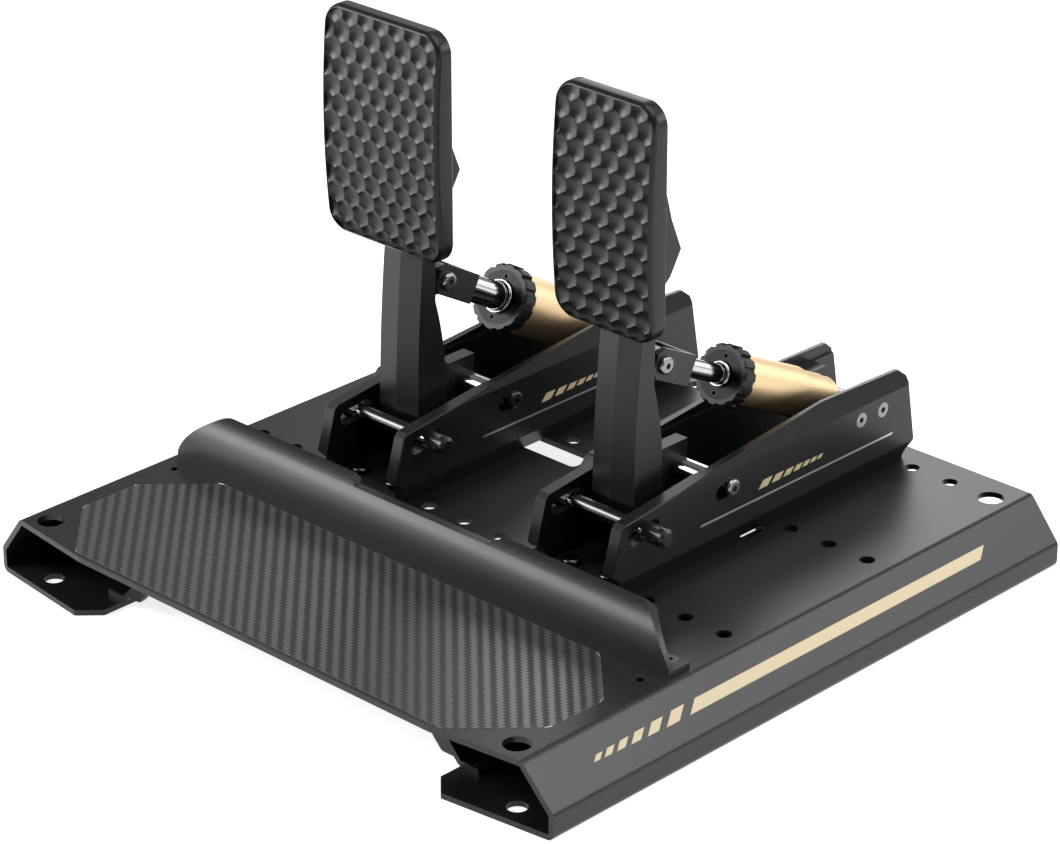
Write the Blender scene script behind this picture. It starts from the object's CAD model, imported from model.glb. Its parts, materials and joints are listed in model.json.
# %% [markdown]
# # A sim racing pedal set, dressed in Blender
# The folded steel base, the two pedals and their dampers come from the CAD model. They arrive as a fixed
# frame, in metres, and nothing in it is moved. This lesson adds what CAD leaves out: the finishes, the
# honeycomb of hollows on the pads, the printed stripes, a bead, two lips, and a plain studio around it all.

import math

import bmesh
import bpy
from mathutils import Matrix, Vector
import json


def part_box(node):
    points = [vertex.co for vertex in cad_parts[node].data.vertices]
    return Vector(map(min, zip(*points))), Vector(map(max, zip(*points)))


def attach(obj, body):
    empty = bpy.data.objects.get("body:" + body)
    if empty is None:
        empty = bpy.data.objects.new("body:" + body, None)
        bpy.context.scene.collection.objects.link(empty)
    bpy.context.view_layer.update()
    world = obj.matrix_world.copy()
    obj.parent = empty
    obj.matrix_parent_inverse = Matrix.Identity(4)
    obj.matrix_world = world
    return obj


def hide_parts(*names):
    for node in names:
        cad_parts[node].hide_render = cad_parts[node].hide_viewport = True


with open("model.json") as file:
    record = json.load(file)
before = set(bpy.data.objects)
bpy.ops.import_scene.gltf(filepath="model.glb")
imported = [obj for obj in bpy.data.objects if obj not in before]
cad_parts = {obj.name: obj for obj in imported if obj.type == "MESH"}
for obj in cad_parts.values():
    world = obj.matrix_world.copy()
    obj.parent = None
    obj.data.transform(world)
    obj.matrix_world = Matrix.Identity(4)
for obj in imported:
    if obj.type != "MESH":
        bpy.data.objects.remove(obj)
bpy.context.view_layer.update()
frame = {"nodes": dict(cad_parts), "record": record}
MM = 0.001
SCENE = bpy.context.scene

# %% [markdown]
# ## The camera
# The photograph was taken from the driver's front right, from far away with a long lens, so the base's
# parallel edges stay almost parallel. The camera is built from the place that it looks at and the place that
# it stands at, and a look-at rotation joins the two. That keeps the numbers readable.

# %% Camera at the photograph's angle
CAMERA_PLACE = Vector((1.2578, -1.3100, 0.9392))
CAMERA_AIM = Vector((0.0165, -0.0135, 0.0947))
LENS = 135.05
SENSOR = 36.0

camera_data = bpy.data.cameras.new("camera")
camera_data.lens = LENS
camera_data.sensor_width = SENSOR
camera_data.sensor_fit = "HORIZONTAL"
camera_data.clip_end = 50.0
camera = bpy.data.objects.new("camera", camera_data)
SCENE.collection.objects.link(camera)
camera.location = CAMERA_PLACE
camera.rotation_euler = (CAMERA_AIM - CAMERA_PLACE).to_track_quat("-Z", "Y").to_euler()
SCENE.camera = camera
SCENE.view_settings.view_transform = "Standard"
print("camera stands", round((CAMERA_AIM - CAMERA_PLACE).length, 3), "m away")

# %% [markdown]
# ## The studio
# Black satin parts show mostly what they reflect. An even grey room gives every face a soft base tone, and
# a few large, weak area lamps draw the gradients that tell the faces apart. Two of them, heel_box and
# slope_box, stand where the heel panel and the base's slopes mirror them. The lamps are hidden from the
# camera, as softboxes in a real studio stand outside the frame.

# %% World: an even pale grey room
ROOM_COLOUR = (0.97, 0.985, 1.0, 1.0)
ROOM_STRENGTH = 0.27

world = bpy.data.worlds.new("room")
SCENE.world = world
world.use_nodes = True
sky = world.node_tree
sky.nodes.clear()
room_out = sky.nodes.new("ShaderNodeOutputWorld")
room_light = sky.nodes.new("ShaderNodeBackground")
room_light.inputs["Color"].default_value = ROOM_COLOUR
room_light.inputs["Strength"].default_value = ROOM_STRENGTH
sky.links.new(room_light.outputs[0], room_out.inputs["Surface"])
print("room strength:", ROOM_STRENGTH)


# %% Area lamps
def softbox(name, place, aim, width, height, power):
    lamp = bpy.data.lights.new(name, "AREA")
    lamp.shape = "RECTANGLE"
    lamp.size = width
    lamp.size_y = height
    lamp.energy = power
    box = bpy.data.objects.new(name, lamp)
    SCENE.collection.objects.link(box)
    box.location = place
    box.rotation_euler = (Vector(aim) - Vector(place)).to_track_quat("-Z", "Y").to_euler()
    box.visible_camera = False


softbox("top_box", (0.35, 0.15, 1.5), (0.0, 0.0, 0.05), 1.1, 1.1, 14.0)
softbox("back_box", (-0.44, 0.86, 0.52), (0.15, 0.05, 0.04), 0.5, 0.45, 2.9)
softbox("heel_box", (-1.25, 1.30, 1.15), (-0.02, -0.15, 0.03), 0.7, 0.5, 1.4)
softbox("right_box", (0.50, 0.05, 0.27), (0.18, -0.18, 0.02), 0.2, 0.2, 0.35)
softbox("slope_box", (1.00, 0.95, 0.78), (0.18, 0.0, 0.03), 0.9, 0.6, 8.5)
softbox("left_box", (-0.95, -0.62, 0.36), (0.0, -0.02, 0.18), 0.9, 0.7, 6.5)
softbox("bar_box", (-0.85, -0.90, 0.75), (0.0, -0.08, 0.05), 0.6, 0.5, 12.0)
softbox("far_box", (0.35, 1.50, 0.55), (0.05, 0.0, 0.10), 1.0, 0.8, 4.5)

# %% [markdown]
# ## The floor
# The photograph has a pure white ground. The floor here is pale paint that also glows for the camera and in
# mirrored views, so that the lit part comes out white, polished metal mirrors that white, and the object's
# own shadow still darkens it. A few small helpers come first, since every node tree needs them.


# %% Helpers for nodes and objects
def link(tree, start, end):
    tree.links.new(start, end)


def feed(tree, socket, value):
    """Set a socket to a number or a colour, or link another socket to it."""
    if isinstance(value, (int, float)):
        socket.default_value = value
    elif isinstance(value, tuple):
        socket.default_value = (*value, 1.0)
    else:
        link(tree, value, socket)


def maths(tree, operation, a, b=None, clamp=False):
    node = tree.nodes.new("ShaderNodeMath")
    node.operation = operation
    node.use_clamp = clamp
    feed(tree, node.inputs[0], a)
    if b is not None:
        feed(tree, node.inputs[1], b)
    return node.outputs[0]


def new_piece(name, mesh=None):
    """An object at the origin, unturned and unscaled, with a mesh of its own."""
    if mesh is None:
        mesh = bpy.data.meshes.new(name)
    piece = bpy.data.objects.new(name, mesh)
    SCENE.collection.objects.link(piece)
    return piece


# %% Floor
FLOOR_COLOUR = (0.60, 0.60, 0.60, 1.0)
FLOOR_GLOW = 0.82
FLOOR_HALF = 12.0
FLOOR_DROP = 0.0002

floor_paint = bpy.data.materials.new("floor_paint")
floor_paint.use_nodes = True
paint = floor_paint.node_tree
paint.nodes.clear()
floor_out = paint.nodes.new("ShaderNodeOutputMaterial")
floor_diffuse = paint.nodes.new("ShaderNodeBsdfDiffuse")
floor_diffuse.inputs["Color"].default_value = FLOOR_COLOUR
floor_glow = paint.nodes.new("ShaderNodeEmission")
floor_glow.inputs["Strength"].default_value = FLOOR_GLOW
floor_add = paint.nodes.new("ShaderNodeAddShader")
floor_mix = paint.nodes.new("ShaderNodeMixShader")
floor_ray = paint.nodes.new("ShaderNodeLightPath").outputs
link(paint, floor_diffuse.outputs[0], floor_add.inputs[0])
link(paint, floor_glow.outputs[0], floor_add.inputs[1])
floor_seen = maths(paint, "ADD", floor_ray["Is Camera Ray"], floor_ray["Is Glossy Ray"])
floor_mirrored = maths(paint, "ADD", floor_seen, floor_ray["Is Transmission Ray"], clamp=True)
link(paint, floor_mirrored, floor_mix.inputs[0])
link(paint, floor_diffuse.outputs[0], floor_mix.inputs[1])
link(paint, floor_add.outputs[0], floor_mix.inputs[2])
link(paint, floor_mix.outputs[0], floor_out.inputs["Surface"])

floor = new_piece("floor")
floor_corners = [(x * FLOOR_HALF, y * FLOOR_HALF, -FLOOR_DROP)
                 for x, y in ((-1, -1), (1, -1), (1, 1), (-1, 1))]
floor.data.from_pydata(floor_corners, [], [(0, 1, 2, 3)])
floor.data.materials.append(floor_paint)
print("floor laid, half width", FLOOR_HALF, "m")

# %% [markdown]
# ## Effects that several finishes share
# Real edges are rubbed thinner than the faces round them, and powder coat has a fine orange-peel skin. Both
# turn up in many finishes, so each is one node group with its own sliders. The groups put out only masks,
# values and colours. The shader itself stays in each material, where its gloss can be read.


# %% Helpers for node groups
def new_group(name, inputs, outputs):
    group = bpy.data.node_groups.new(name, "ShaderNodeTree")
    for label, kind, value in inputs:
        socket = group.interface.new_socket(label, in_out="INPUT", socket_type=kind)
        socket.default_value = value
    for label, kind in outputs:
        group.interface.new_socket(label, in_out="OUTPUT", socket_type=kind)
    start = group.nodes.new("NodeGroupInput")
    end = group.nodes.new("NodeGroupOutput")
    return group, start, end


def object_place(tree):
    return tree.nodes.new("ShaderNodeTexCoord").outputs["Object"]


def noise(tree, place, scale, detail=2.0, rough=0.5):
    node = tree.nodes.new("ShaderNodeTexNoise")
    node.inputs["Detail"].default_value = detail
    node.inputs["Roughness"].default_value = rough
    feed(tree, node.inputs["Scale"], scale)
    link(tree, place, node.inputs["Vector"])
    return node.outputs[0]


def between(tree, factor, low, high):
    """A value that runs from low to high as the factor runs from 0 to 1."""
    node = tree.nodes.new("ShaderNodeMapRange")
    link(tree, factor, node.inputs["Value"])
    feed(tree, node.inputs["To Min"], low)
    feed(tree, node.inputs["To Max"], high)
    return node.outputs[0]


# %% Edge wear group
EDGE_SAMPLES = 4
EDGE_GAIN = 4.0
PATCH_SCALE = 140.0
PATCH_LEAST = 0.45

edge_group, edge_in, edge_out = new_group(
    "edge_wear",
    [("Width", "NodeSocketFloat", 0.0006), ("Amount", "NodeSocketFloat", 0.5)],
    [("Mask", "NodeSocketFloat")])
edge_bevel = edge_group.nodes.new("ShaderNodeBevel")
edge_bevel.samples = EDGE_SAMPLES
link(edge_group, edge_in.outputs["Width"], edge_bevel.inputs["Radius"])
edge_face = edge_group.nodes.new("ShaderNodeNewGeometry")
edge_dot = edge_group.nodes.new("ShaderNodeVectorMath")
edge_dot.operation = "DOT_PRODUCT"
link(edge_group, edge_bevel.outputs["Normal"], edge_dot.inputs[0])
link(edge_group, edge_face.outputs["Normal"], edge_dot.inputs[1])
edge_raw = maths(edge_group, "SUBTRACT", 1.0, edge_dot.outputs["Value"])
edge_soft = maths(edge_group, "MULTIPLY", edge_raw, EDGE_GAIN, clamp=True)
edge_cloud = noise(edge_group, object_place(edge_group), PATCH_SCALE)
edge_patch = between(edge_group, edge_cloud, PATCH_LEAST, 1.0)
edge_mask = maths(edge_group, "MULTIPLY", edge_soft, edge_patch)
edge_mask = maths(edge_group, "MULTIPLY", edge_mask, edge_in.outputs["Amount"], clamp=True)
link(edge_group, edge_mask, edge_out.inputs["Mask"])
print("group:", edge_group.name)

# %% Skin group: the fine grain of powder coat, moulded plastic and anodising
FINE_SHARE = 0.35
CLOUD_SHARE = 0.65

skin_group, skin_in, skin_out = new_group(
    "skin",
    [("Scale", "NodeSocketFloat", 1600.0), ("Cloud scale", "NodeSocketFloat", 14.0),
     ("Roughness low", "NodeSocketFloat", 0.4), ("Roughness high", "NodeSocketFloat", 0.5)],
    [("Cloud", "NodeSocketFloat"), ("Roughness", "NodeSocketFloat"), ("Height", "NodeSocketFloat")])
skin_place = object_place(skin_group)
skin_fine = noise(skin_group, skin_place, skin_in.outputs["Scale"], 3.0)
skin_cloud = noise(skin_group, skin_place, skin_in.outputs["Cloud scale"], 4.0, 0.6)
skin_both = maths(skin_group, "ADD", maths(skin_group, "MULTIPLY", skin_fine, FINE_SHARE),
                  maths(skin_group, "MULTIPLY", skin_cloud, CLOUD_SHARE))
link(skin_group, skin_cloud, skin_out.inputs["Cloud"])
link(skin_group, between(skin_group, skin_both, skin_in.outputs["Roughness low"],
                         skin_in.outputs["Roughness high"]), skin_out.inputs["Roughness"])
link(skin_group, skin_fine, skin_out.inputs["Height"])
print("group:", skin_group.name)

# %% [markdown]
# ## One recipe for most finishes
# Paint, anodising and plastic differ in colour, gloss and grain, and not in how the nodes join up. One
# function lays the nodes: a base colour that drifts a little from place to place, worn edges in a second
# colour, and the skin's roughness and bump. Each finish is then one call with its own sliders.


# %% The shared recipe
def use_group(tree, group, **values):
    node = tree.nodes.new("ShaderNodeGroup")
    node.node_tree = group
    for label, value in values.items():
        node.inputs[label.replace("_", " ")].default_value = value
    return node


def mix_colour(tree, factor, a, b):
    node = tree.nodes.new("ShaderNodeMix")
    node.data_type = "RGBA"
    feed(tree, node.inputs[0], factor)
    feed(tree, node.inputs[6], a)
    feed(tree, node.inputs[7], b)
    return node.outputs[2]


def bump(tree, height, distance):
    node = tree.nodes.new("ShaderNodeBump")
    node.inputs["Distance"].default_value = distance
    node.inputs["Strength"].default_value = 1.0
    link(tree, height, node.inputs["Height"])
    return node.outputs["Normal"]


def shell(name, metallic=0.0, specular=0.5):
    """An empty material with a Principled shader: returns the material, its tree and the shader."""
    material = bpy.data.materials.new(name)
    material.use_nodes = True
    tree = material.node_tree
    tree.nodes.clear()
    out = tree.nodes.new("ShaderNodeOutputMaterial")
    shader = tree.nodes.new("ShaderNodeBsdfPrincipled")
    shader.inputs["Metallic"].default_value = metallic
    shader.inputs["Specular IOR Level"].default_value = specular
    link(tree, shader.outputs[0], out.inputs["Surface"])
    return material, tree, shader


FINISHES = {}


def finish(name, dark, light, worn, rough, grain=1600.0, depth=0.00001, metallic=0.0, specular=0.5,
           edge=0.0006, wear=0.4):
    material, tree, shader = shell(name, metallic, specular)
    skin = use_group(tree, skin_group, Scale=grain, Roughness_low=rough[0], Roughness_high=rough[1])
    rim = use_group(tree, edge_group, Width=edge, Amount=wear)
    base = mix_colour(tree, skin.outputs["Cloud"], dark, light)
    link(tree, mix_colour(tree, rim.outputs["Mask"], base, worn), shader.inputs["Base Color"])
    link(tree, skin.outputs["Roughness"], shader.inputs["Roughness"])
    link(tree, bump(tree, skin.outputs["Height"], depth), shader.inputs["Normal"])
    FINISHES[name] = material


# %% [markdown]
# ## The black finishes
# Almost the whole object is black, in seven different ways. Powder coat is a thick satin paint. Anodised
# plates are smoother and catch light along their milled bevels. The pads and the dampers' rings are anodised
# too, with less wear. Housings are moulded plastic, screws are the glossiest, and rubber is the dullest.

# %% Black finishes
finish("powder_black", (0.0050, 0.0050, 0.0052), (0.0085, 0.0085, 0.0088), (0.03, 0.03, 0.03),
       (0.34, 0.42), specular=0.40)
finish("anodised_black", (0.0045, 0.0045, 0.0048), (0.0075, 0.0075, 0.0078), (0.09, 0.09, 0.09),
       (0.28, 0.36), grain=2600.0, depth=0.000006, wear=0.6, edge=0.0005, specular=0.31)
finish("pad_black", (0.0050, 0.0050, 0.0052), (0.0080, 0.0080, 0.0083), (0.03, 0.03, 0.03),
       (0.28, 0.36), grain=2200.0, depth=0.000006, wear=0.25, edge=0.0005, specular=0.31)
finish("housing_black", (0.0065, 0.0065, 0.0068), (0.011, 0.011, 0.0112), (0.03, 0.03, 0.03),
       (0.42, 0.52), grain=1200.0, depth=0.00002, wear=0.3, specular=0.35)
finish("ring_black", (0.0045, 0.0045, 0.0048), (0.0075, 0.0075, 0.0078), (0.08, 0.08, 0.08),
       (0.30, 0.38), grain=2600.0, depth=0.000005, wear=0.5, edge=0.0004, specular=0.20)
finish("screw_black", (0.005, 0.005, 0.005), (0.009, 0.009, 0.009), (0.12, 0.12, 0.12),
       (0.26, 0.34), grain=3000.0, depth=0.000005, wear=0.5, edge=0.0003, specular=0.4)
finish("rubber_black", (0.007, 0.007, 0.007), (0.013, 0.013, 0.013), (0.02, 0.02, 0.02),
       (0.55, 0.7), grain=1500.0, depth=0.00003, wear=0.2, specular=0.3)
print("finishes so far:", sorted(FINISHES))

# %% [markdown]
# ## The metals
# The metals use the same recipe with a metallic shader, brighter colours and a tighter grain. The golden
# barrels are anodised aluminium: a metal whose colour is warm, bright on top, and brown where it mirrors dark
# things. The thin printed films and the heel panel's bead are mixed here too.


# %% Bare and coloured metals
def metal(name, colour, second, rough, grain=900.0, wear=0.25, worn=(0.9, 0.9, 0.9)):
    finish(name, colour, second, worn, rough, grain=grain, depth=0.000004, metallic=1.0, wear=wear,
           edge=0.0003)


metal("polished_steel", (0.38, 0.38, 0.39), (0.52, 0.52, 0.53), (0.08, 0.16))
metal("dark_chrome", (0.055, 0.055, 0.058), (0.09, 0.09, 0.093), (0.18, 0.28), worn=(0.3, 0.3, 0.3))
metal("screw_steel", (0.19, 0.19, 0.195), (0.27, 0.27, 0.275), (0.18, 0.28), grain=2500.0,
      worn=(0.5, 0.5, 0.5))
metal("spring_steel", (0.26, 0.26, 0.27), (0.36, 0.36, 0.36), (0.26, 0.36))
metal("bronze", (0.50, 0.30, 0.14), (0.62, 0.40, 0.20), (0.30, 0.40), worn=(0.8, 0.6, 0.35))
metal("gold_anodised", (0.70, 0.52, 0.30), (0.78, 0.59, 0.35), (0.40, 0.48), grain=1500.0,
      worn=(0.85, 0.68, 0.42))
metal("gland_grey", (0.007, 0.007, 0.0075), (0.012, 0.012, 0.0125), (0.26, 0.36), worn=(0.3, 0.3, 0.3))
metal("silver_film", (0.50, 0.50, 0.51), (0.60, 0.60, 0.61), (0.30, 0.38), wear=0.0)
finish("gold_film", (0.52, 0.42, 0.25), (0.57, 0.46, 0.28), (0.7, 0.5, 0.3), (0.34, 0.42), wear=0.0)
metal("bead_grey", (0.50, 0.50, 0.51), (0.60, 0.60, 0.61), (0.24, 0.32), wear=0.0)
metal("eye_grey", (0.20, 0.20, 0.21), (0.28, 0.28, 0.285), (0.30, 0.40), worn=(0.5, 0.5, 0.5))
print("finishes so far:", len(FINISHES))

# %% [markdown]
# ## The heel panel's weave
# The panel has the look of carbon cloth in a two-by-two twill: each tow passes over two and under two, one
# step further in each row, so bright and dark diagonals run across it. The weave is worked out from the
# place on the panel: the row and column of the tow say whether warp or weft is on top, and the distance from
# the tow's middle gives its rounded height. The panel's cut edge shows as a light rim.

# %% Carbon twill
TOW = 2.1 * MM
TWILL_REPEAT = 4.0
WARP_STEPS = 1.5
HUMP_SHARE = 0.65
VALLEY_SHARE = 0.35
WEFT_DULLER = 0.22
twill, twill_tree, twill_shader = shell("heel_film", specular=0.65)
split = twill_tree.nodes.new("ShaderNodeSeparateXYZ")
link(twill_tree, object_place(twill_tree), split.inputs[0])
across_tow = maths(twill_tree, "DIVIDE", split.outputs["X"], TOW)
along_tow = maths(twill_tree, "DIVIDE", split.outputs["Y"], TOW)
column = maths(twill_tree, "FLOOR", across_tow)
row = maths(twill_tree, "FLOOR", along_tow)
step = maths(twill_tree, "FLOORED_MODULO", maths(twill_tree, "ADD", column, row), TWILL_REPEAT)
warp_up = maths(twill_tree, "LESS_THAN", step, WARP_STEPS)
weft_up = maths(twill_tree, "SUBTRACT", 1.0, warp_up)


def round_back(place):
    """1 in the middle of a tow and 0 at its two sides."""
    turn = maths(twill_tree, "MULTIPLY", maths(twill_tree, "FRACT", place), math.pi)
    return maths(twill_tree, "SINE", turn)


hump = maths(twill_tree, "ADD", maths(twill_tree, "MULTIPLY", round_back(across_tow), warp_up),
             maths(twill_tree, "MULTIPLY", round_back(along_tow), weft_up))
tow_shade = mix_colour(twill_tree, warp_up, (0.003, 0.003, 0.0032), (0.055, 0.055, 0.057))
tow_light = maths(twill_tree, "ADD", maths(twill_tree, "MULTIPLY", hump, HUMP_SHARE), VALLEY_SHARE)
twill_rim = use_group(twill_tree, edge_group, Width=0.0006, Amount=0.9)
tow_base = mix_colour(twill_tree, tow_light, (0.003, 0.003, 0.003), tow_shade)
link(twill_tree, mix_colour(twill_tree, twill_rim.outputs["Mask"], tow_base, (0.28, 0.28, 0.28)),
     twill_shader.inputs["Base Color"])
twill_skin = use_group(twill_tree, skin_group, Scale=900.0, Roughness_low=0.30, Roughness_high=0.36)
weft_rough = maths(twill_tree, "MULTIPLY", weft_up, WEFT_DULLER)
tow_rough = maths(twill_tree, "ADD", twill_skin.outputs["Roughness"], weft_rough)
link(twill_tree, tow_rough, twill_shader.inputs["Roughness"])
link(twill_tree, bump(twill_tree, hump, 0.00004), twill_shader.inputs["Normal"])
FINISHES["heel_film"] = twill
print("tow width", TOW / MM, "mm")

# %% [markdown]
# ## Dress the CAD parts
# Every node names a slot in the model's record, and every slot has one finish. The loop puts each finish on
# its nodes, so a part that was forgotten would show up at once in the printed list.

# %% Assign finishes
slot_of = {entry["node"]: entry["material_slot"] for entry in frame["record"]["subparts"]}
bare = []
for node_name, part in frame["nodes"].items():
    chosen = slot_of.get(node_name)
    if chosen not in FINISHES:
        bare.append((node_name, chosen))
        continue
    part.data.materials.clear()
    part.data.materials.append(FINISHES[chosen])
print("dressed:", len(frame["nodes"]) - len(bare), "left bare:", bare)

# %% [markdown]
# ## The pads' honeycomb
# Each pad is a slightly crowned plate whose face is pressed full of shallow round hollows. They sit so close
# together that neighbours cut into each other, and that is what makes the six-sided ridges. The ridges stay
# crisp only if the mesh has edges along them, so the face is a lattice of triangles whose lines run exactly
# through the ridges. Geometry Nodes then press the hollows: every point finds its nearest hollow's middle
# and sinks by the depth of a ball there.

# %% Sizes of the hollows
PITCH = 10.85 * MM
ROW_PITCH = 9.6 * MM
LATTICE_STEPS = 8
HOLLOW_REACH = 6.34 * MM
HOLLOW_DEPTH = 1.9 * MM
PAD_CROWN = 3.7 * MM
PAD_CORNER = 11.5 * MM
FACE_INSET = 2.3 * MM
HOLLOW_OVERHANG = 3.0 * MM
print("ball radius", round((HOLLOW_REACH ** 2 + HOLLOW_DEPTH ** 2) / (2 * HOLLOW_DEPTH) / MM, 2), "mm")


# %% Geometry Nodes tree: press hollows
def node_tree(name, inputs):
    tree = bpy.data.node_groups.new(name, "GeometryNodeTree")
    tree.interface.new_socket("Geometry", in_out="INPUT", socket_type="NodeSocketGeometry")
    for label, kind, value in inputs:
        socket = tree.interface.new_socket(label, in_out="INPUT", socket_type=kind)
        if value is not None:
            socket.default_value = value
    tree.interface.new_socket("Geometry", in_out="OUTPUT", socket_type="NodeSocketGeometry")
    return tree, tree.nodes.new("NodeGroupInput"), tree.nodes.new("NodeGroupOutput")


def end_tree(tree, geometry, group_in, group_out):
    """Realize the instances, give them their material and hand the result out."""
    real = tree.nodes.new("GeometryNodeRealizeInstances")
    dress = tree.nodes.new("GeometryNodeSetMaterial")
    link(tree, geometry, real.inputs[0])
    link(tree, real.outputs[0], dress.inputs["Geometry"])
    link(tree, group_in.outputs["Material"], dress.inputs["Material"])
    link(tree, dress.outputs[0], group_out.inputs[0])


hollows, hollows_in, hollows_out = node_tree("press_hollows", [
    ("Pitch", "NodeSocketFloat", PITCH), ("Row pitch", "NodeSocketFloat", ROW_PITCH),
    ("Reach", "NodeSocketFloat", HOLLOW_REACH), ("Depth", "NodeSocketFloat", HOLLOW_DEPTH),
    ("Middle", "NodeSocketVector", None), ("Half width", "NodeSocketFloat", 0.03),
    ("Half height", "NodeSocketFloat", 0.05), ("Material", "NodeSocketMaterial", None)])
spot = hollows.nodes.new("GeometryNodeInputPosition")
from_middle = hollows.nodes.new("ShaderNodeVectorMath")
from_middle.operation = "SUBTRACT"
link(hollows, spot.outputs[0], from_middle.inputs[0])
link(hollows, hollows_in.outputs["Middle"], from_middle.inputs[1])
spot_parts = hollows.nodes.new("ShaderNodeSeparateXYZ")
link(hollows, from_middle.outputs[0], spot_parts.inputs[0])
spot_x, spot_z = spot_parts.outputs["X"], spot_parts.outputs["Z"]
pitch, row_pitch = hollows_in.outputs["Pitch"], hollows_in.outputs["Row pitch"]
double_row = maths(hollows, "MULTIPLY", row_pitch, 2.0)
squeeze = maths(hollows, "DIVIDE", maths(hollows, "MULTIPLY", pitch, math.sqrt(3) / 2), row_pitch)


def snap(value, spacing, shift):
    """The nearest line of a shifted row of lines."""
    number = maths(hollows, "SUBTRACT", maths(hollows, "DIVIDE", value, spacing), shift)
    whole = maths(hollows, "ADD", maths(hollows, "ROUND", number), shift)
    return maths(hollows, "MULTIPLY", whole, spacing)


def under(value, limit):
    """1 where the value lies within the limit on both sides of zero, and 0 elsewhere."""
    return maths(hollows, "LESS_THAN", maths(hollows, "ABSOLUTE", value), hollows_in.outputs[limit])


def nearest_middle(shift):
    """Squared distance to the nearest hollow's middle in one of the two staggered grids.

    A middle off the pad counts as far away, so no hollow is pressed round it.
    """
    x, z = snap(spot_x, pitch, shift), snap(spot_z, double_row, shift)
    side = maths(hollows, "SUBTRACT", spot_x, x)
    rise = maths(hollows, "MULTIPLY", maths(hollows, "SUBTRACT", spot_z, z), squeeze)
    square = maths(hollows, "ADD", maths(hollows, "MULTIPLY", side, side),
                   maths(hollows, "MULTIPLY", rise, rise))
    inside = maths(hollows, "MULTIPLY", under(x, "Half width"), under(z, "Half height"))
    return maths(hollows, "ADD", square, maths(hollows, "SUBTRACT", 1.0, inside))


nearest = maths(hollows, "MINIMUM", nearest_middle(0.0), nearest_middle(0.5))
reach, depth = hollows_in.outputs["Reach"], hollows_in.outputs["Depth"]
reach_square = maths(hollows, "MULTIPLY", reach, reach)
ball = maths(hollows, "DIVIDE",
             maths(hollows, "ADD", reach_square, maths(hollows, "MULTIPLY", depth, depth)),
             maths(hollows, "MULTIPLY", depth, 2.0))
ball_square = maths(hollows, "MULTIPLY", ball, ball)
near_only = maths(hollows, "MINIMUM", nearest, reach_square)
sink = maths(hollows, "SUBTRACT",
             maths(hollows, "SQRT", maths(hollows, "SUBTRACT", ball_square, near_only)),
             maths(hollows, "SQRT", maths(hollows, "SUBTRACT", ball_square, reach_square)))
face_mask = hollows.nodes.new("GeometryNodeInputNamedAttribute")
face_mask.data_type = "FLOAT"
face_mask.inputs["Name"].default_value = "pressed"
sink_here = maths(hollows, "MULTIPLY", sink, face_mask.outputs[0])
push = hollows.nodes.new("ShaderNodeCombineXYZ")
link(hollows, sink_here, push.inputs["Y"])
press = hollows.nodes.new("GeometryNodeSetPosition")
link(hollows, hollows_in.outputs["Geometry"], press.inputs["Geometry"])
link(hollows, push.outputs[0], press.inputs["Offset"])
end_tree(hollows, press.outputs[0], hollows_in, hollows_out)
print("tree:", hollows.name, "with", len(hollows.nodes), "nodes")

# %% [markdown]
# ## The pad's plate
# The plate starts as that lattice, cut to a rounded rectangle. Points outside the outline are pulled onto
# it, so the border is smooth, and the rim grows from the border in rings: a soft bevel, the upright side,
# and the back. The distance to a rounded rectangle gives both the pull and the rim's outward direction.
# A ring says how far out it lies, how deep, and whether its depth is counted forwards from the back.


# %% Rounded outline
def outline_distance(x, z, half_width, half_height, corner):
    """Distance outside a rounded rectangle and the outward direction there."""
    dx, dz = abs(x) - (half_width - corner), abs(z) - (half_height - corner)
    if dx > 0 and dz > 0:
        length = math.hypot(dx, dz)
        return length - corner, (math.copysign(dx / length, x), math.copysign(dz / length, z))
    if dx - corner > dz - corner:
        return dx - corner, (math.copysign(1.0, x), 0.0)
    return dz - corner, (0.0, math.copysign(1.0, z))


# %% Blank plate from the lattice
RIM_RINGS = ((0.5, 0.10, False), (1.1, 0.45, False), (1.7, 1.05, False), (2.1, 1.85, False),
             (2.3, 2.9, False), (2.3, 0.5, True), (1.9, 0.0, True))
PULL_SLACK = 0.15 * MM
WELD = 0.00002


def fix_order(blank):
    """Number points, edges and faces by their place, so that every run gives the same mesh."""
    for elements, place in ((blank.verts, lambda v: tuple(v.co)),
                            (blank.edges, lambda e: sorted(v.index for v in e.verts)),
                            (blank.faces, lambda f: sorted(v.index for v in f.verts))):
        for number, element in enumerate(sorted(elements, key=place)):
            element.index = number
        elements.sort()


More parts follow.
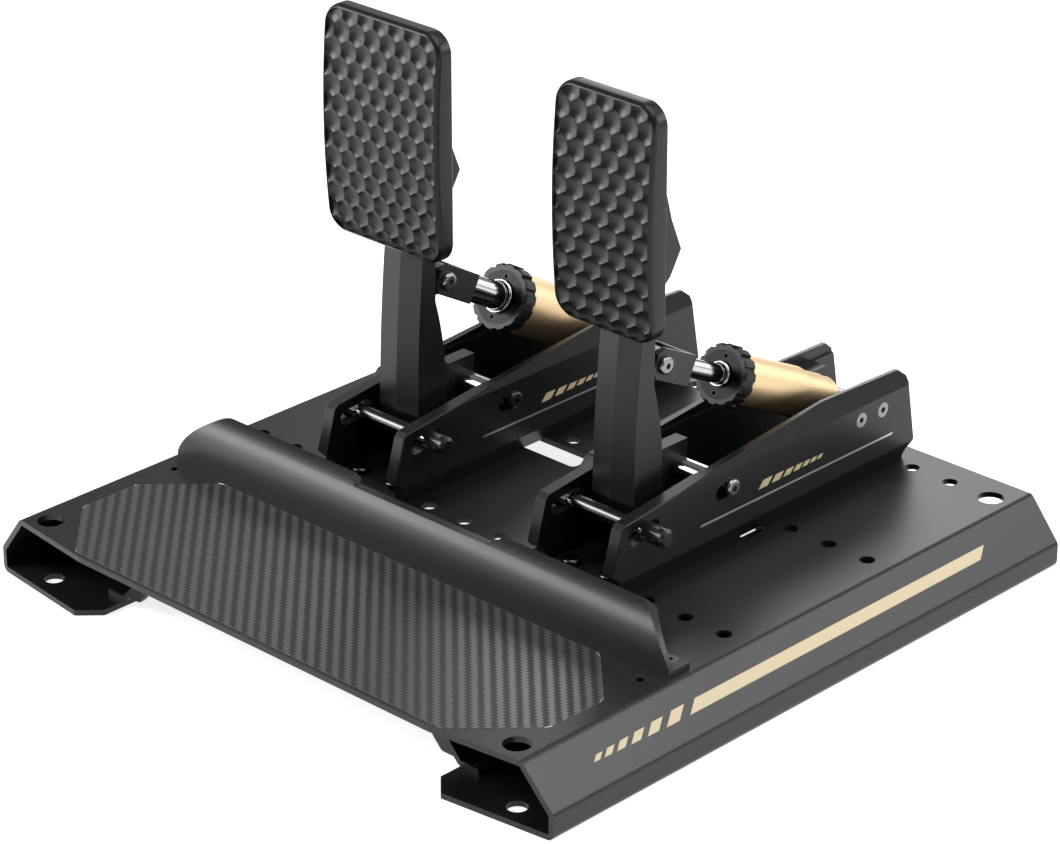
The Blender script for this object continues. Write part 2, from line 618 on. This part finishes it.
def pad_blank(name, cad_node):
    low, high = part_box(cad_node)
    middle = (low + high) / 2
    half_w, half_h = (high.x - low.x) / 2, (high.z - low.z) / 2
    face_w, face_h, corner = half_w - FACE_INSET, half_h - FACE_INSET, PAD_CORNER - FACE_INSET
    crown_radius = (PAD_CROWN ** 2 + half_h ** 2) / (2 * PAD_CROWN)

    def face_y(z):
        return low.y + crown_radius - math.sqrt(crown_radius ** 2 - z ** 2)

    blank = bmesh.new()
    column_step, row_step = PITCH / (2 * LATTICE_STEPS), ROW_PITCH * 2 / 3 / LATTICE_STEPS
    columns, rows = int(half_w / column_step) + 2, int(half_h / row_step) + 2
    grid, outside = {}, {}
    for i in range(-columns, columns + 1):
        for j in range(-rows, rows + 1):
            x, z = i * column_step, (j + (i % 2) / 2) * row_step
            distance, out = outline_distance(x, z, face_w, face_h, corner)
            if distance > 0:
                x, z = x - out[0] * distance, z - out[1] * distance
            grid[i, j] = blank.verts.new((middle.x + x, face_y(z), middle.z + z))
            outside[i, j] = distance > -PULL_SLACK
    for i in range(-columns, columns):
        for j in range(-rows, rows):
            shift = i % 2
            for corners in (((i, j), (i + 1, j + shift), (i, j + 1)),
                            ((i + 1, j + shift), (i + 1, j + shift + 1), (i, j + 1))):
                if all(c in grid for c in corners) and not all(outside[c] for c in corners):
                    blank.faces.new([grid[c] for c in corners])
    bmesh.ops.delete(blank, geom=[v for v in blank.verts if not v.link_faces], context="VERTS")
    pressed = blank.verts.layers.float.new("pressed")
    for v in blank.verts:
        v[pressed] = 1.0
    border = [e for e in blank.edges if e.is_boundary]
    for out_step, ring_depth, from_back in RIM_RINGS:
        grown = bmesh.ops.extrude_edge_only(blank, edges=border)["geom"]
        for v in (g for g in grown if isinstance(g, bmesh.types.BMVert)):
            x, z = v.co.x - middle.x, v.co.z - middle.z
            distance, out = outline_distance(x, z, face_w, face_h, corner)
            v[pressed] = 0.0
            move = out_step * MM - distance
            x, z = x + out[0] * move, z + out[1] * move
            if from_back:
                y = high.y - ring_depth * MM
            else:
                y = face_y(max(-face_h, min(face_h, z))) + ring_depth * MM
            v.co = (middle.x + x, y, middle.z + z)
        border = [e for e in blank.edges if e.is_boundary]
    bmesh.ops.contextual_create(blank, geom=border)
    bmesh.ops.triangulate(blank, faces=[f for f in blank.faces if len(f.verts) > 4])
    bmesh.ops.remove_doubles(blank, verts=blank.verts, dist=WELD)
    fix_order(blank)
    bmesh.ops.recalc_face_normals(blank, faces=blank.faces)
    piece = new_piece(name)
    blank.to_mesh(piece.data)
    blank.free()
    return piece, middle, half_w, half_h


# %% Run a tree on a piece and keep the result as a plain mesh
def apply_tree(piece, tree, **values):
    modifier = piece.modifiers.new("nodes", "NODES")
    modifier.node_group = tree
    wanted = {socket.name: socket.identifier for socket in tree.interface.items_tree
              if socket.item_type == "SOCKET" and socket.in_out == "INPUT"}
    for label, value in values.items():
        modifier[wanted[label.replace("_", " ")]] = value
    bpy.context.view_layer.update()
    ready = piece.evaluated_get(bpy.context.evaluated_depsgraph_get())
    made = bpy.data.meshes.new_from_object(ready)
    piece.modifiers.clear()
    piece.data = made


def smooth(piece, angle):
    """Shade a piece smooth, except at edges that fold by more than the angle, in degrees."""
    piece.data.shade_smooth()
    piece.data.set_sharp_from_angle(angle=math.radians(angle))


# %% Both pads
RIDGE_FOLD = 25.0

for side in ("throttle", "brake"):
    pad_piece, pad_middle, pad_half_w, pad_half_h = pad_blank(f"{side}_pad_honeycomb", f"{side}_pad")
    apply_tree(pad_piece, hollows, Middle=pad_middle, Pitch=PITCH, Row_pitch=ROW_PITCH, Reach=HOLLOW_REACH,
               Depth=HOLLOW_DEPTH, Half_width=pad_half_w + HOLLOW_OVERHANG,
               Half_height=pad_half_h + HOLLOW_OVERHANG, Material=FINISHES["pad_black"])
    smooth(pad_piece, RIDGE_FOLD)
    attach(pad_piece, f"{side}_pedal")
    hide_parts(f"{side}_pad")
    print(pad_piece.name, len(pad_piece.data.polygons), "faces")

# %% [markdown]
# ## The printed stripes
# The base and the side plates carry plain racing stripes: slanted bars in a row that grow smaller from one to
# the next. One tree draws them all. It sets boxes along a line, shrinks each by the same share, shears them
# so that their ends slant, and turns the finished row onto the plate that carries it. A tiny number keeps
# the sum of the steps from dividing by zero where nothing shrinks.

# %% Geometry Nodes tree: a row of slanted bars
NO_ZERO = 1.00001

bars, bars_in, bars_out = node_tree("slanted_bars", [
    ("Count", "NodeSocketInt", 5), ("Length", "NodeSocketFloat", 0.01),
    ("Width", "NodeSocketFloat", 0.004), ("Step", "NodeSocketFloat", 0.014),
    ("Shrink", "NodeSocketFloat", 0.85), ("Slant", "NodeSocketFloat", 0.6),
    ("Thickness", "NodeSocketFloat", 0.0001), ("Place", "NodeSocketVector", None),
    ("Turn", "NodeSocketVector", None), ("Material", "NodeSocketMaterial", None)])


def vector(tree, x=0.0, y=0.0, z=0.0):
    node = tree.nodes.new("ShaderNodeCombineXYZ")
    for socket, value in zip(node.inputs, (x, y, z)):
        feed(tree, socket, value)
    return node.outputs[0]


bar_line = bars.nodes.new("GeometryNodeMeshLine")
link(bars, bars_in.outputs["Count"], bar_line.inputs["Count"])
bar_number = bars.nodes.new("GeometryNodeInputIndex").outputs[0]
bar_share = maths(bars, "POWER", bars_in.outputs["Shrink"], bar_number)
shrunk = maths(bars, "SUBTRACT", 1.0, bar_share)
steps_sum = maths(bars, "DIVIDE", shrunk, maths(bars, "SUBTRACT", NO_ZERO, bars_in.outputs["Shrink"]))
bar_place = bars.nodes.new("GeometryNodeSetPosition")
link(bars, bar_line.outputs[0], bar_place.inputs["Geometry"])
bar_start = maths(bars, "MULTIPLY", steps_sum, bars_in.outputs["Step"])
link(bars, vector(bars, y=bar_start), bar_place.inputs["Position"])
bar_box = bars.nodes.new("GeometryNodeMeshCube")
bar_size = vector(bars, bars_in.outputs["Thickness"], bars_in.outputs["Length"], bars_in.outputs["Width"])
link(bars, bar_size, bar_box.inputs["Size"])
bar_copies = bars.nodes.new("GeometryNodeInstanceOnPoints")
link(bars, bar_place.outputs[0], bar_copies.inputs["Points"])
link(bars, bar_box.outputs[0], bar_copies.inputs["Instance"])
link(bars, vector(bars, 1.0, bar_share, bar_share), bar_copies.inputs["Scale"])
bar_real = bars.nodes.new("GeometryNodeRealizeInstances")
link(bars, bar_copies.outputs[0], bar_real.inputs[0])
bar_point = bars.nodes.new("GeometryNodeInputPosition")
bar_parts = bars.nodes.new("ShaderNodeSeparateXYZ")
link(bars, bar_point.outputs[0], bar_parts.inputs[0])
bar_lean = maths(bars, "MULTIPLY", bar_parts.outputs["Z"], bars_in.outputs["Slant"])
bar_shear = bars.nodes.new("GeometryNodeSetPosition")
link(bars, bar_real.outputs[0], bar_shear.inputs["Geometry"])
link(bars, vector(bars, y=bar_lean), bar_shear.inputs["Offset"])
bar_turn = bars.nodes.new("GeometryNodeTransform")
link(bars, bar_shear.outputs[0], bar_turn.inputs["Geometry"])
link(bars, bars_in.outputs["Place"], bar_turn.inputs["Translation"])
link(bars, bars_in.outputs["Turn"], bar_turn.inputs["Rotation"])
end_tree(bars, bar_turn.outputs[0], bars_in, bars_out)
print("tree:", bars.name, "with", len(bars.nodes), "nodes")

# %% Rows of stripes: name, film, place in mm, turn, then count, length, width, step, shrink and slant
SLOPE_ACROSS, SLOPE_RISE = 18.1, 22.3
SLOPE_TILT = -math.atan2(SLOPE_ACROSS, SLOPE_RISE)
SLOPE_OUT, SLOPE_HIGH = 185.62, 24.90
SIDE_OUT = 28.93
FILM_THICK = 0.1 * MM
ROWS = []
for hand, face in (("right", 1), ("left", -1)):
    out, tilt = SLOPE_OUT * face, SLOPE_TILT * face
    ROWS.append((f"{hand}_slope_stripe", "gold_film", (out, 30.0, SLOPE_HIGH), tilt,
                 1, 220.0, 6.0, 1.0, 0.5, 1.2))
    ROWS.append((f"{hand}_slope_dashes", "gold_film", (out, -92.0, SLOPE_HIGH), tilt,
                 6, 9.0, 6.0, -14.0, 0.86, 1.2))
for pedal, centre in (("throttle", 75.0), ("brake", -75.0)):
    for hand, face in (("right", 1), ("left", -1)):
        out = centre + SIDE_OUT * face
        ROWS.append((f"{pedal}_{hand}_line", "silver_film", (out, 92.0, 55.5), 0.0,
                     1, 150.0, 1.1, 1.0, 0.5, 1.0))
        ROWS.append((f"{pedal}_{hand}_dashes", "gold_film", (out, 66.0, 62.5), 0.0,
                     7, 7.0, 4.2, 9.5, 0.88, 0.9))
for name, film, place, tilt, count, length, width, row_step, shrink, slant in ROWS:
    stripe = new_piece(name)
    apply_tree(stripe, bars, Count=count, Length=length * MM, Width=width * MM, Step=row_step * MM,
               Shrink=shrink, Slant=slant, Thickness=FILM_THICK, Place=Vector(place) * MM,
               Turn=Vector((0.0, tilt, 0.0)), Material=FINISHES[film])
    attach(stripe, "base")
print("rows of stripes:", len(ROWS))

# %% [markdown]
# ## The panel's bead and the dampers' lips
# A thin bright bead runs round the top edge of the heel panel, and a steel lip stands round each damper's rod
# where it enters the cylinder. Both are a round profile swept along a curve: the panel's own top edges for
# the bead, and a circle for the lip.

# %% Geometry Nodes tree: a bead along the sharp top edges
BEAD_RADIUS = 0.35 * MM
BEAD_REACH = 0.2 * MM
SHARP_FOLD = 1.0
PROFILE_SIDES = 10
ROUND_FOLD = 60.0

bead, bead_in, bead_out = node_tree("edge_bead", [
    ("Radius", "NodeSocketFloat", 0.0003), ("Floor", "NodeSocketFloat", 0.0),
    ("Material", "NodeSocketMaterial", None)])
bead_join = bead.nodes.new("GeometryNodeMergeByDistance")
link(bead, bead_in.outputs["Geometry"], bead_join.inputs["Geometry"])
bead_fold = bead.nodes.new("GeometryNodeInputMeshEdgeAngle").outputs[0]
bead_spot = bead.nodes.new("ShaderNodeSeparateXYZ")
link(bead, bead.nodes.new("GeometryNodeInputPosition").outputs[0], bead_spot.inputs[0])
bead_high = maths(bead, "GREATER_THAN", bead_spot.outputs["Z"], bead_in.outputs["Floor"])
bead_chosen = maths(bead, "MULTIPLY", maths(bead, "GREATER_THAN", bead_fold, SHARP_FOLD), bead_high)


def sweep(tree, curve, radius):
    """A round profile along a curve."""
    profile = tree.nodes.new("GeometryNodeCurvePrimitiveCircle")
    profile.inputs["Resolution"].default_value = PROFILE_SIDES
    link(tree, radius, profile.inputs["Radius"])
    swept = tree.nodes.new("GeometryNodeCurveToMesh")
    link(tree, curve, swept.inputs["Curve"])
    link(tree, profile.outputs[0], swept.inputs["Profile Curve"])
    return swept.outputs[0]


bead_curve = bead.nodes.new("GeometryNodeMeshToCurve")
link(bead, bead_join.outputs[0], bead_curve.inputs["Mesh"])
link(bead, bead_chosen, bead_curve.inputs["Selection"])
bead_swept = sweep(bead, bead_curve.outputs[0], bead_in.outputs["Radius"])
end_tree(bead, bead_swept, bead_in, bead_out)
panel_bead = new_piece("heel_panel_bead", frame["nodes"]["heel_panel"].data.copy())
apply_tree(panel_bead, bead, Radius=BEAD_RADIUS, Floor=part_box("heel_panel")[1].z - BEAD_REACH,
           Material=FINISHES["bead_grey"])
smooth(panel_bead, ROUND_FOLD)
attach(panel_bead, "base")
print("bead faces:", len(panel_bead.data.polygons))

# %% Geometry Nodes tree: a lip round a rod
LIP_SIDES = 48

lip, lip_in, lip_out = node_tree("round_lip", [
    ("Radius", "NodeSocketFloat", 0.006), ("Thickness", "NodeSocketFloat", 0.001),
    ("Place", "NodeSocketVector", None), ("Turn", "NodeSocketVector", None),
    ("Material", "NodeSocketMaterial", None)])
lip_circle = lip.nodes.new("GeometryNodeCurvePrimitiveCircle")
lip_circle.inputs["Resolution"].default_value = LIP_SIDES
link(lip, lip_in.outputs["Radius"], lip_circle.inputs["Radius"])
lip_turn = lip.nodes.new("GeometryNodeTransform")
link(lip, sweep(lip, lip_circle.outputs[0], lip_in.outputs["Thickness"]), lip_turn.inputs["Geometry"])
link(lip, lip_in.outputs["Place"], lip_turn.inputs["Translation"])
link(lip, lip_in.outputs["Turn"], lip_turn.inputs["Rotation"])
end_tree(lip, lip_turn.outputs[0], lip_in, lip_out)
print("tree:", lip.name, "with", len(lip.nodes), "nodes")

# %% Both lips, where each gland's front face meets its rod
ROD_RADIUS = {"throttle": 5.0 * MM, "brake": 7.5 * MM}
LIP_OUT = 1.1 * MM
LIP_THICK = 0.75 * MM


def box_middle(node):
    low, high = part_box(node)
    return (low + high) / 2


for side in ("throttle", "brake"):
    tail, front = box_middle(f"{side}_tail_eye"), box_middle(f"{side}_clevis_bolt")
    front.x = tail.x
    axis = (front - tail).normalized()
    gland = frame["nodes"][f"{side}_gland"]
    reach_out = max((gland.matrix_world @ v.co - tail).dot(axis) for v in gland.data.vertices)
    lip_place = tail + axis * reach_out
    rod_lip = new_piece(f"{side}_rod_lip")
    apply_tree(rod_lip, lip, Radius=ROD_RADIUS[side] + LIP_OUT, Thickness=LIP_THICK, Place=lip_place,
               Turn=Vector((math.atan2(-axis.y, axis.z), 0.0, 0.0)), Material=FINISHES["polished_steel"])
    smooth(rod_lip, ROUND_FOLD)
    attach(rod_lip, f"{side}_cylinder")
    print(rod_lip.name, [round(c / MM, 1) for c in lip_place])

# %% The last lines: sizes for the record, then finish
import json
